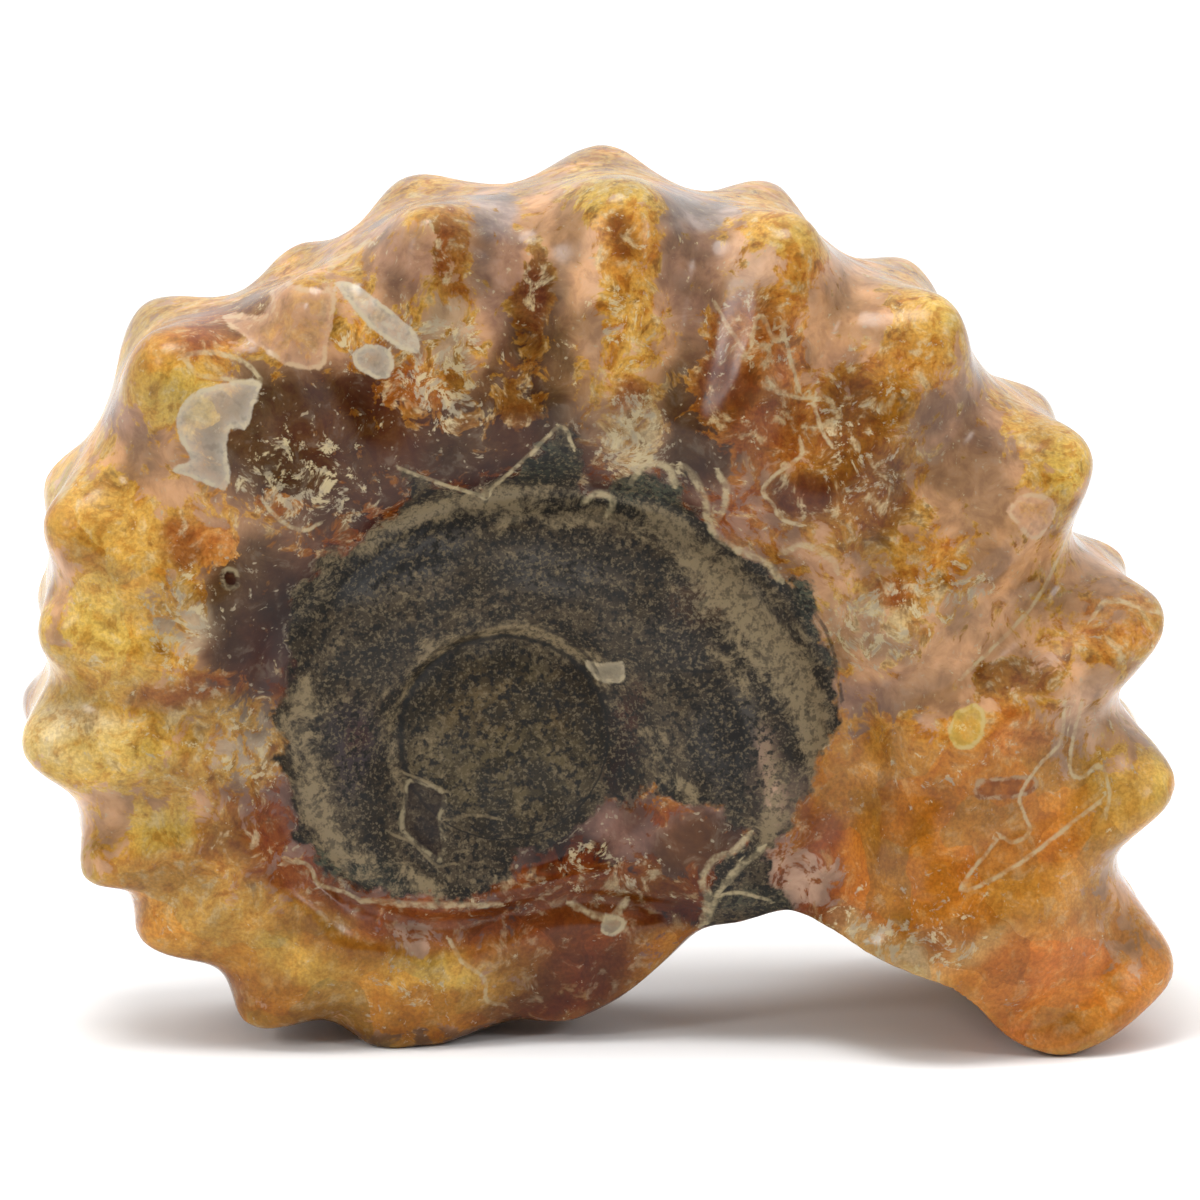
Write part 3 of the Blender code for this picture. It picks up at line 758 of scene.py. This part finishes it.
def alongWhorl(flat, across):
    # places in which noise turns into streaks that follow the whorl
    turns, stray, apart, deep = stonePaint["streakShape"]
    angle = np.arctan2(flat[:, 1], flat[:, 0])
    x = turns * np.cos(angle) + stray * flat[:, 0]
    z = turns * np.sin(angle) + np.hypot(flat[:, 0], flat[:, 1]) / apart
    return np.stack([x, z, across / deep], 1)


def plugCrease(flat):
    # half widths away from the painted shade in the groove round the plug, which is widest on the side
    # towards the light
    least, more, light = stonePaint["creaseHalf"]
    return fromPlugEdge(flat) / (least + more * plugLight(flat, light))


def carve(places):
    # relief: slow hand-polished swells everywhere, a sunk ring round the plug, and the grain of the matrix
    flat = fromCoilAxis(places)
    form = stoneForm
    lift = form["handPolish"] * swell(places, form["polishScale"], form["polishSeed"], 2)
    inMatrix = fade(insideOutline(flat, pointsIn(matrixOutline)), *form["grainEdge"])
    lift += inMatrix * form["grainRelief"] * swell(places, form["grainScale"], form["grainSeed"], 3)
    groove = np.exp(-((fromPlugEdge(flat) / form["grooveWidth"]) ** 2))
    groove *= fade(-np.abs(places[:, 1]), *form["plugDepth"])
    return lift - form["plugGroove"] * groove


places += stoneForm["crispness"] * (places - eased(places, pairs, stoneForm["broadEasings"]))
normals = pointsOf(stoneMesh, "normal")
places += normals * carve(places)[:, None]
places[:, 2] = np.maximum(places[:, 2], 0.0)  # the two flats stay on the table
stoneMesh.vertices.foreach_set("co", (places * mm).astype(np.float32).ravel())
stoneMesh.update()
stoneMesh.shade_smooth()
print("relief is worked in")

broad = eased(places, pairs, stoneForm["broadEasings"])
normals = pointsOf(stoneMesh, "normal")
hollow = np.einsum("ij,ij->i", broad - places, normals)  # above 0 in a furrow, below 0 on a rib


def paintStone():
    # layers with a capital feed the shader groups' sockets of the same name
    paint = stonePaint
    wander = np.stack([swell(places, paint["wanderScale"], seed, 3) for seed in paint["wanderSeeds"]], 1)
    straight = fromCoilAxis(places)
    farStraight = turnedBack(straight)
    flat = straight + wander * paint["wander"]
    far = turnedBack(flat)
    deep = places[:, 1] + 2.0 * wander[:, 0]
    front = smooth(0.5 - deep / paint["middleBlend"])[:, None]
    frontCalcite, backCalcite = calciteFields(flat), calciteFields(far)
    clear, cloudy = (b + (a - b) * front for a, b in zip(frontCalcite[:2], backCalcite[:2]))
    clearness = backCalcite[2] + (frontCalcite[2] - backCalcite[2]) * front[:, 0]
    matrix = np.tile(lightOf("matrix"), (len(places), 1))
    for name, weight in dabWeights(flat, matrixDabs):
        matrix += (lightOf(name) - matrix) * weight
    onFront = places[:, 1] < 0
    shown = np.abs(places[:, 1]) > paint["markDepth"]

    def pick(a, b, elsewhere=None):
        chosen = np.where(onFront if a.ndim == 1 else onFront[:, None], a, b)
        return chosen if elsewhere is None else np.where(shown, chosen, elsewhere)

    farSide, farAway = paint["nowhere"]
    lineSide, lineNear, lineTone = zip(lineFields(straight), lineFields(farStraight))
    chipEdge, chipTone = zip(chipFields(straight), chipFields(farStraight))
    # the crystals are large beside the opening, below the coil and at its left
    facets = fade(-flat[:, 0], *paint["facetsRight"]) * fade(flat[:, 1], *paint["facetsDown"])
    facets = np.maximum(facets, fade(flat[:, 1], *paint["facetsBelow"]))
    facets = np.maximum(facets, fade(flat[:, 0], *paint["facetsLeft"]))
    layers = {
        "Cloud": 0.5 + 0.5 * swell(places, *paint["clouds"]),
        "ragged": swell(places, *paint["raggedness"]),
        "Drifts": 0.5 + 0.5 * swell(alongWhorl(straight, places[:, 1]), *paint["streaks"]),
        "lineSide": pick(*lineSide, farSide),
        "lineNear": pick(*lineNear, farAway),
        "chipEdge": pick(*chipEdge, farAway),
        "matrixEdge": insideOutline(straight, pointsIn(matrixOutline)),
        "Flakes": pick(flakeField(flat), flakeField(far)),
        "Facets": facets,
        "Worn": wornField(flat),
        "Clearness": clearness + paint["facetClearness"] * facets,
        "Furrow": hollow,
        "crease": plugCrease(straight),
        "Clear": clear,
        "Cloudy": cloudy,
        "Tone": matrix,
        "lineTone": pick(*lineTone),
        "chipTone": pick(*chipTone),
    }
    for name, value in layers.items():
        kind, field = ("FLOAT", "value") if value.ndim == 1 else ("FLOAT_COLOR", "color")
        if value.ndim == 2:
            value = np.insert(value, 3, 1.0, axis=1)
        layer = stoneMesh.attributes.new(name, kind, "POINT")
        layer.data.foreach_set(field, value.astype(np.float32).ravel())


paintStone()
print("tones and marks are painted on the stone")


def addNode(tree, kind, **settings):
    node = tree.nodes.new(kind)
    for name, value in settings.items():
        setattr(node, name, value)
    return node


def feed(tree, socket, source):
    if isinstance(source, bpy.types.NodeSocket):
        tree.links.new(source, socket)
    elif isinstance(source, tuple) and len(source) == 3 and socket.type == "RGBA":
        socket.default_value = (*source, 1.0)
    else:
        socket.default_value = source


def sums(tree, operation, first, second=0.0):
    node = addNode(tree, "ShaderNodeMath", operation=operation)
    feed(tree, node.inputs[0], first)
    feed(tree, node.inputs[1], second)
    return node.outputs[0]


def plus(tree, first, second):
    return sums(tree, "ADD", first, second)


def times(tree, first, second):
    return sums(tree, "MULTIPLY", first, second)


def ramp(tree, value, low, high, start=0.0, end=1.0):
    node = addNode(tree, "ShaderNodeMapRange", interpolation_type="SMOOTHSTEP")
    feed(tree, node.inputs["Value"], value)
    node.inputs["From Min"].default_value = low
    node.inputs["From Max"].default_value = high
    node.inputs["To Min"].default_value = start
    node.inputs["To Max"].default_value = end
    return node.outputs["Result"]


def mixed(tree, amount, under, over, blend="MIX"):
    node = addNode(tree, "ShaderNodeMix", data_type="RGBA", blend_type=blend)
    feed(tree, node.inputs["Factor"], amount)
    feed(tree, node.inputs["A"], under)
    feed(tree, node.inputs["B"], over)
    return node.outputs["Result"]


def tinted(tree, colour, tint):
    return mixed(tree, 1.0, colour, tint, "MULTIPLY")


# Noises in the stone: scale per mm, detail and roughness
noises = {
    "bend": (0.5, 0.5, 0.55),
    "drift": (1.1, 2.5, 0.68),
    "mottle": (0.9, 3.0, 0.62),
    "fine": (4.0, 1.0, 0.70),
    "frayed": (1.1, 3.2, 0.78),
    "jag": (0.75, 3.5, 0.66),
    "dust": (2.6, 0.0, 0.55),
    "grit": (1.9, 2.0, 0.74),
}

# How the calcite is coloured. Four numbers are a ramp: where it starts and ends, and what it gives there
calciteLook = {
    "bendReach": 1.8,  # mm
    "deepTint": (0.66, 0.42, 0.12),
    "deepening": (0.52, 0.36, 0.0, 0.85),
    "paling": (0.52, 0.7, 0.0, 0.65),
    "fineShade": (0.3, 0.7, 0.84, 1.16),
    "facetScale": 0.21,  # per mm
    "facetBend": 1.15,
    "facetCalm": -0.6,  # a facet is this much less grainy
    "facetShade": (0.0, 1.0, 0.8, 1.18),
    "facetWarmth": (0.4, 0.9, 0.0, 0.9),
    "warmTint": (1.06, 0.82, 0.44),
    "facetShare": 0.55,
    "leastFaceted": 0.35,
    "pocketFlakes": 0.06,
    "pocketing": (0.57, 0.72, 0.0, 0.6),
    "cloudShade": (0.25, 0.75, 0.84, 1.22),
    "hazeShade": (0.3, 0.7, 0.82, 1.2),
    "hazeVeil": (0.54, 0.76, 0.0, 0.22),
    "dusting": (0.73, 0.81),
    "dustHaze": (0.42, 0.6, 0.1, 0.8),
    "borderJag": 2.6,
    "border": (0.38, 0.62, 0.1, 0.95),
    "fewFlakes": 0.1,
    "flakeShare": 0.17,
    "flaking": (0.62, 0.73, 0.0, 0.8),
    "flakeTones": (0.45, 0.55),
    "slowShade": (0.25, 0.75, 0.84, 1.18),
    "tipHeight": (-0.5, -1.8),
    "tipJag": (0.4, 0.6, 0.15, 0.55),
    "furrowDepth": (0.1, 1.2),
    "furrowCloud": (0.3, 0.6, 0.04, 0.3),
    "cream": tuple(lightOf("cream")),
    "milk": tuple(lightOf("milk")),
    "tips": tuple(lightOf("lemon")),
    "pocket": (0.06, 0.018, 0.002),
    # a milky grey: random haze in the cloudy calcite, and painted shade and reflection in the furrows
    "veilAndShade": (0.135, 0.096, 0.08),
}


def grain(tree, where, name, output="Fac"):
    node = addNode(tree, "ShaderNodeTexNoise")
    feed(tree, node.inputs["Vector"], where)
    for socket, value in zip(("Scale", "Detail", "Roughness"), noises[name]):
        node.inputs[socket].default_value = value
    return node.outputs[output]


def painted(tree, name, colour=False):
    node = addNode(tree, "ShaderNodeAttribute", attribute_name=name)
    return node.outputs["Color"] if colour else node.outputs["Fac"]


def vectors(tree, operation, first, second):
    node = addNode(tree, "ShaderNodeVectorMath", operation=operation)
    feed(tree, node.inputs[0], first)
    feed(tree, node.inputs["Scale" if operation == "SCALE" else 1], second)
    return node.outputs["Vector"]


def inMillimetres(tree):
    return vectors(tree, "SCALE", addNode(tree, "ShaderNodeTexCoord").outputs["Object"], 1 / mm)


def strayed(tree, where):
    # the same place, pushed about by noise
    push = vectors(tree, "SUBTRACT", grain(tree, where, "bend", "Color"), (0.5, 0.5, 0.5))
    return vectors(tree, "ADD", where, vectors(tree, "SCALE", push, calciteLook["bendReach"]))


def newGroup(name, vectors, colours, values):
    tree = bpy.data.node_groups.new(name, "ShaderNodeTree")
    kinds = (("NodeSocketVector", vectors), ("NodeSocketColor", colours), ("NodeSocketFloat", values))
    for kind, names in kinds:
        for socket in names:
            tree.interface.new_socket(socket, in_out="INPUT", socket_type=kind)
    tree.interface.new_socket("Colour", in_out="OUTPUT", socket_type="NodeSocketColor")
    return tree, addNode(tree, "NodeGroupInput").outputs, addNode(tree, "NodeGroupOutput").inputs


def useGroup(tree, group, sources):
    # each input of the group takes the source of its own name
    node = addNode(tree, "ShaderNodeGroup", node_tree=group)
    for name, socket in node.inputs.items():
        feed(tree, socket, sources[name])
    return node.outputs["Colour"]


def clearGroup():
    # clear honey-coloured crystal: grainy, in facets, with dark pockets
    look = calciteLook
    values = ("Jag", "Mottle", "Fine", "Flakes", "Facets")
    tree, given, out = newGroup("clearCalcite", ("Place", "Bent"), ("Tone",), values)
    grainy = plus(tree, 1.0, times(tree, given["Facets"], look["facetCalm"]))
    deeper = tinted(tree, given["Tone"], look["deepTint"])
    deepShare = times(tree, ramp(tree, given["Mottle"], *look["deepening"]), grainy)
    colour = mixed(tree, deepShare, given["Tone"], deeper)
    paleShare = times(tree, ramp(tree, given["Mottle"], *look["paling"]), grainy)
    colour = mixed(tree, paleShare, colour, look["cream"])
    colour = tinted(tree, colour, ramp(tree, given["Fine"], *look["fineShade"]))

    angular = addNode(tree, "ShaderNodeMix", data_type="VECTOR")
    feed(tree, angular.inputs["Factor"], look["facetBend"])
    feed(tree, angular.inputs[4], given["Place"])
    feed(tree, angular.inputs[5], given["Bent"])
    cells = addNode(tree, "ShaderNodeTexVoronoi")
    feed(tree, cells.inputs["Vector"], angular.outputs[1])
    cells.inputs["Scale"].default_value = look["facetScale"]
    facet = addNode(tree, "ShaderNodeSeparateColor")
    feed(tree, facet.inputs["Color"], cells.outputs["Color"])
    faceted = tinted(tree, colour, ramp(tree, facet.outputs["Red"], *look["facetShade"]))
    warm = tinted(tree, faceted, look["warmTint"])
    faceted = mixed(tree, ramp(tree, facet.outputs["Green"], *look["facetWarmth"]), faceted, warm)
    share = plus(tree, times(tree, given["Facets"], look["facetShare"]), look["leastFaceted"])
    colour = mixed(tree, share, colour, faceted)

    pockets = plus(tree, given["Jag"], times(tree, given["Flakes"], look["pocketFlakes"]))
    pocketShare = times(tree, ramp(tree, pockets, *look["pocketing"]), grainy)
    feed(tree, out["Colour"], mixed(tree, pocketShare, colour, look["pocket"]))
    return tree


def cloudyGroup():
    # cloudy calcite: smooth, milky, with white dust hanging in it
    look = calciteLook
    tree, given, out = newGroup("cloudyCalcite", ("Place",), ("Tone",), ("Mottle", "Cloud"))
    colour = tinted(tree, given["Tone"], ramp(tree, given["Cloud"], *look["cloudShade"]))
    colour = tinted(tree, colour, ramp(tree, given["Mottle"], *look["hazeShade"]))
    colour = mixed(tree, ramp(tree, given["Mottle"], *look["hazeVeil"]), colour, look["veilAndShade"])
    dust = ramp(tree, grain(tree, given["Place"], "dust"), *look["dusting"])
    dust = times(tree, dust, ramp(tree, given["Mottle"], *look["dustHaze"]))
    feed(tree, out["Colour"], mixed(tree, dust, colour, look["milk"]))
    return tree


def calciteGroup():
    look = calciteLook
    values = ("Mottle", "Fine", "Frayed", "Clearness", "Flakes", "Facets", "Furrow", "Cloud")
    tree, given, out = newGroup("calciteColour", ("Place", "Bent"), ("Clear", "Cloudy"), values)
    jag = grain(tree, given["Bent"], "jag")
    sources = {**dict(given.items()), "Jag": jag}
    clear = useGroup(tree, clearGroup(), {**sources, "Tone": given["Clear"]})
    cloudy = useGroup(tree, cloudyGroup(), {**sources, "Tone": given["Cloudy"]})

    # the two meet in jagged edges
    border = plus(tree, given["Clearness"], times(tree, plus(tree, jag, -0.5), look["borderJag"]))
    border = ramp(tree, border, *look["border"])
    colour = mixed(tree, border, cloudy, clear)

    # pale flakes in both, thickest where they are painted
    flakes = times(tree, plus(tree, given["Flakes"], -look["fewFlakes"]), look["flakeShare"])
    flakes = ramp(tree, plus(tree, given["Frayed"], flakes), *look["flaking"])
    paler = mixed(tree, ramp(tree, jag, *look["flakeTones"]), look["milk"], look["cream"])
    colour = mixed(tree, flakes, colour, paler)

    # slow clouds over all, light shining through the tips, and a thin milky-grey veil of painted shade and
    # reflection in the furrows
    colour = tinted(tree, colour, ramp(tree, given["Cloud"], *look["slowShade"]))
    tips = times(tree, ramp(tree, given["Furrow"], *look["tipHeight"]), ramp(tree, jag, *look["tipJag"]))
    colour = mixed(tree, tips, colour, look["tips"])
    veilAndShade = ramp(tree, given["Furrow"], *look["furrowDepth"])
    veilAndShade = times(tree, veilAndShade, ramp(tree, given["Cloud"], *look["furrowCloud"]))
    feed(tree, out["Colour"], mixed(tree, veilAndShade, colour, look["veilAndShade"]))
    return tree


matrixLook = {
    "driftShade": (0.28, 0.72, 0.45, 1.75),
    "sanding": (0.5, 0.66, 0.0, 0.7),
    "driftWear": 0.4,
    "leastWorn": 0.3,
    "wornShare": 0.24,
    "wearing": (0.54, 0.8, 0.0, 0.92),
    "sooting": (0.54, 0.36, 0.0, 0.95),
    "sootWorn": (0.0, 1.0, 1.0, 0.6),
    "creasing": (1.0, 0.2, 0.0, 0.85),
    "tan": tuple(lightOf("tan")),
    "sootAndShade": (0.006, 0.005, 0.004),
    "sand": (0.12, 0.09, 0.05),
}


def matrixGroup():
    # dark sandstone with soot-black and tan grains, worn tan on its crests, and painted shade in the groove
    # round the plug
    look = matrixLook
    values = ("Fine", "Frayed", "Worn", "Crease", "Drifts")
    tree, given, out = newGroup("matrixColour", ("Place",), ("Tone",), values)
    colour = tinted(tree, given["Tone"], ramp(tree, given["Drifts"], *look["driftShade"]))
    colour = mixed(tree, ramp(tree, given["Fine"], *look["sanding"]), colour, look["sand"])
    drift = times(tree, plus(tree, given["Drifts"], -0.5), look["driftWear"])
    drift = times(tree, drift, plus(tree, given["Worn"], look["leastWorn"]))
    wear = plus(tree, plus(tree, given["Frayed"], drift), times(tree, given["Worn"], look["wornShare"]))
    colour = mixed(tree, ramp(tree, wear, *look["wearing"]), colour, look["tan"])
    sootAndShade = ramp(tree, grain(tree, given["Place"], "grit"), *look["sooting"])
    sootAndShade = times(tree, sootAndShade, ramp(tree, given["Worn"], *look["sootWorn"]))
    colour = mixed(tree, sootAndShade, colour, look["sootAndShade"])
    # painted shade: the groove round the plug is darkened with the same near-black
    colour = mixed(tree, ramp(tree, given["Crease"], *look["creasing"]), colour, look["sootAndShade"])
    feed(tree, out["Colour"], colour)
    return tree


# How edges and marks are drawn: how far each one strays, in mm or half widths, and its ramps
markLook = {
    "creaseStray": 2.0,
    "edgeStray": 1.8,
    "edge": (0.3, -0.28),
    "wall": (0.14, 0.03),
    "wallDrift": (-0.02, 0.12, 0.0, 0.4),
    "chipStray": 0.45,
    "chipShade": (0.3, 0.7, 0.65, 1.3),
    "chipEdge": (0.05, -0.1),
    "chipDrift": (0.62, 0.4, 0.55, 0.95),
    "chipMiddle": (-1.0, -0.1, 0.62, 1.0),
    "rimPlace": 0.14,
    "rim": (0.24, 0.04),
    "rimMottle": (0.42, 0.56, 0.15, 0.95),
    "rimCream": 0.5,
    "lineStray": 2.2,
    "line": (1.5, 0.4),
    "lineReach": (0.46, 0.34),
    "lineFade": (0.38, 0.62, 0.22, 0.72),
    "gloss": (0.0, 1.0, 0.2, 0.5),  # roughness of the calcite and of the matrix
    "unevenness": (0.3, 0.7, 0.8, 1.35),
}
polish = {
    "Specular IOR Level": 0.22,
    "Subsurface Weight": 0.12,
    "Subsurface Radius": (1.0, 0.52, 0.22),
    "Subsurface Scale": 1.2 * mm,
}


def newMaterial(name, settings):
    material = bpy.data.materials.new(name)
    material.use_nodes = True
    shader = material.node_tree.nodes["Principled BSDF"]
    for socket, value in settings.items():
        shader.inputs[socket].default_value = value
    return material, material.node_tree, shader


def stoneMaterial():
    material, tree, shader = newMaterial("polishedAmmonite", polish)
    look = markLook
    where = inMillimetres(tree)
    bent = strayed(tree, where)
    drift = grain(tree, where, "drift")
    mottle = grain(tree, bent, "mottle")
    ragged = plus(tree, drift, -0.5)
    crease = plus(tree, painted(tree, "crease"), times(tree, ragged, look["creaseStray"]))
    sources = {
        "Place": where,
        "Bent": bent,
        "Mottle": mottle,
        "Fine": grain(tree, where, "fine"),
        "Frayed": grain(tree, bent, "frayed"),
        "Crease": sums(tree, "ABSOLUTE", crease),
    }
    for name in ("Clear", "Cloudy", "Tone"):
        sources[name] = painted(tree, name, True)
    for name in ("Clearness", "Flakes", "Facets", "Furrow", "Cloud", "Worn", "Drifts"):
        sources[name] = painted(tree, name)
    calcite = useGroup(tree, calciteGroup(), sources)
    matrix = useGroup(tree, matrixGroup(), sources)

    # the matrix's ragged edge, with a thin pale wall along parts of it
    edge = plus(tree, painted(tree, "matrixEdge"), painted(tree, "ragged"))
    edge = plus(tree, edge, times(tree, ragged, look["edgeStray"]))
    inMatrix = ramp(tree, edge, *look["edge"])
    colour = mixed(tree, inMatrix, calcite, matrix)
    wall = ramp(tree, sums(tree, "ABSOLUTE", plus(tree, edge, -look["edge"][0])), *look["wall"])
    wall = times(tree, wall, ramp(tree, ragged, *look["wallDrift"]))
    colour = mixed(tree, wall, colour, calciteLook["milk"])

    # splinters, densest at their rims, with the clouds showing through them
    chipTone = painted(tree, "chipTone", True)
    chipEdge = plus(tree, painted(tree, "chipEdge"), times(tree, ragged, look["chipStray"]))
    filled = times(tree, ramp(tree, chipEdge, *look["chipEdge"]), ramp(tree, drift, *look["chipDrift"]))
    filled = times(tree, filled, ramp(tree, chipEdge, *look["chipMiddle"]))
    colour = mixed(tree, filled, colour, tinted(tree, chipTone, ramp(tree, drift, *look["chipShade"])))
    rim = ramp(tree, sums(tree, "ABSOLUTE", plus(tree, chipEdge, look["rimPlace"])), *look["rim"])
    rim = times(tree, rim, ramp(tree, mottle, *look["rimMottle"]))
    colour = mixed(tree, rim, colour, mixed(tree, look["rimCream"], chipTone, calciteLook["cream"]))

    # inlaid lines
    line = plus(tree, painted(tree, "lineSide"), times(tree, ragged, look["lineStray"]))
    line = ramp(tree, sums(tree, "ABSOLUTE", line), *look["line"])
    line = times(tree, line, ramp(tree, painted(tree, "lineNear"), *look["lineReach"]))
    line = times(tree, line, ramp(tree, drift, *look["lineFade"]))
    colour = mixed(tree, line, colour, painted(tree, "lineTone", True))

    feed(tree, shader.inputs["Base Color"], colour)
    roughness = ramp(tree, inMatrix, *look["gloss"])
    roughness = times(tree, roughness, ramp(tree, painted(tree, "Cloud"), *look["unevenness"]))
    feed(tree, shader.inputs["Roughness"], roughness)
    return material


stoneMesh.materials.clear()
stoneMesh.materials.append(stoneMaterial())
ammonite = placed("polishedAmmonite", stoneMesh)
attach(ammonite, "root")
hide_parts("ammonite")
print("the stone is polished")

# A pale table and the soft light of a small photo tent
studio = {
    "tableSize": 6.0,
    "tableLook": {"Base Color": (0.86, 0.86, 0.86, 1), "Roughness": 0.9, "Specular IOR Level": 0.1},
    "walls": (-0.15, -0.75, 0.95, 0.12),  # the tent's light, darker where the camera stands
    "ceiling": (0.35, 0.9, 0.0, 0.75),  # what it adds upwards
    "aim": (0.0, 0.0, 0.03),
    "lamps": (  # name, place, size, power; each aims at the stone
        ("overheadSoftbox", (-0.12, -0.10, 0.62), 0.30, 3.0),
        ("leftSoftbox", (-0.52, -0.46, 0.42), 0.16, 1.0),
        ("rightSoftbox", (0.50, -0.48, 0.40), 0.16, 0.8),
    ),
}


def layTable():
    bm = bmesh.new()
    bmesh.ops.create_grid(bm, x_segments=1, y_segments=1, size=0.5 * studio["tableSize"])
    mesh = bpy.data.meshes.new("paleTable")
    bm.to_mesh(mesh)
    bm.free()
    table = placed("paleTable", mesh)
    mesh.materials.append(newMaterial("paleTable", studio["tableLook"])[0])


def hangLamps():
    middle = Vector(studio["aim"])
    for name, place, size, power in studio["lamps"]:
        lampData = bpy.data.lights.new(name, "AREA")
        lampData.shape = "DISK"
        lampData.size = size
        lampData.energy = power
        lamp = placed(name, lampData)
        lamp.location = place
        lamp.rotation_euler = (Vector(place) - middle).to_track_quat("Z", "Y").to_euler()
    world = bpy.data.worlds.new("whiteTent")
    world.use_nodes = True
    tree = world.node_tree
    outlook = addNode(tree, "ShaderNodeSeparateXYZ")
    feed(tree, outlook.inputs["Vector"], addNode(tree, "ShaderNodeTexCoord").outputs["Generated"])
    walls = ramp(tree, outlook.outputs["Y"], *studio["walls"])
    ceiling = ramp(tree, outlook.outputs["Z"], *studio["ceiling"])
    feed(tree, tree.nodes["Background"].inputs["Strength"], plus(tree, walls, ceiling))
    tree.nodes["Background"].inputs["Color"].default_value = (1, 1, 1, 1)
    bpy.context.scene.world = world


layTable()
hangLamps()
bpy.context.scene.view_settings.view_transform = "Standard"
print("table and lamps are in place")
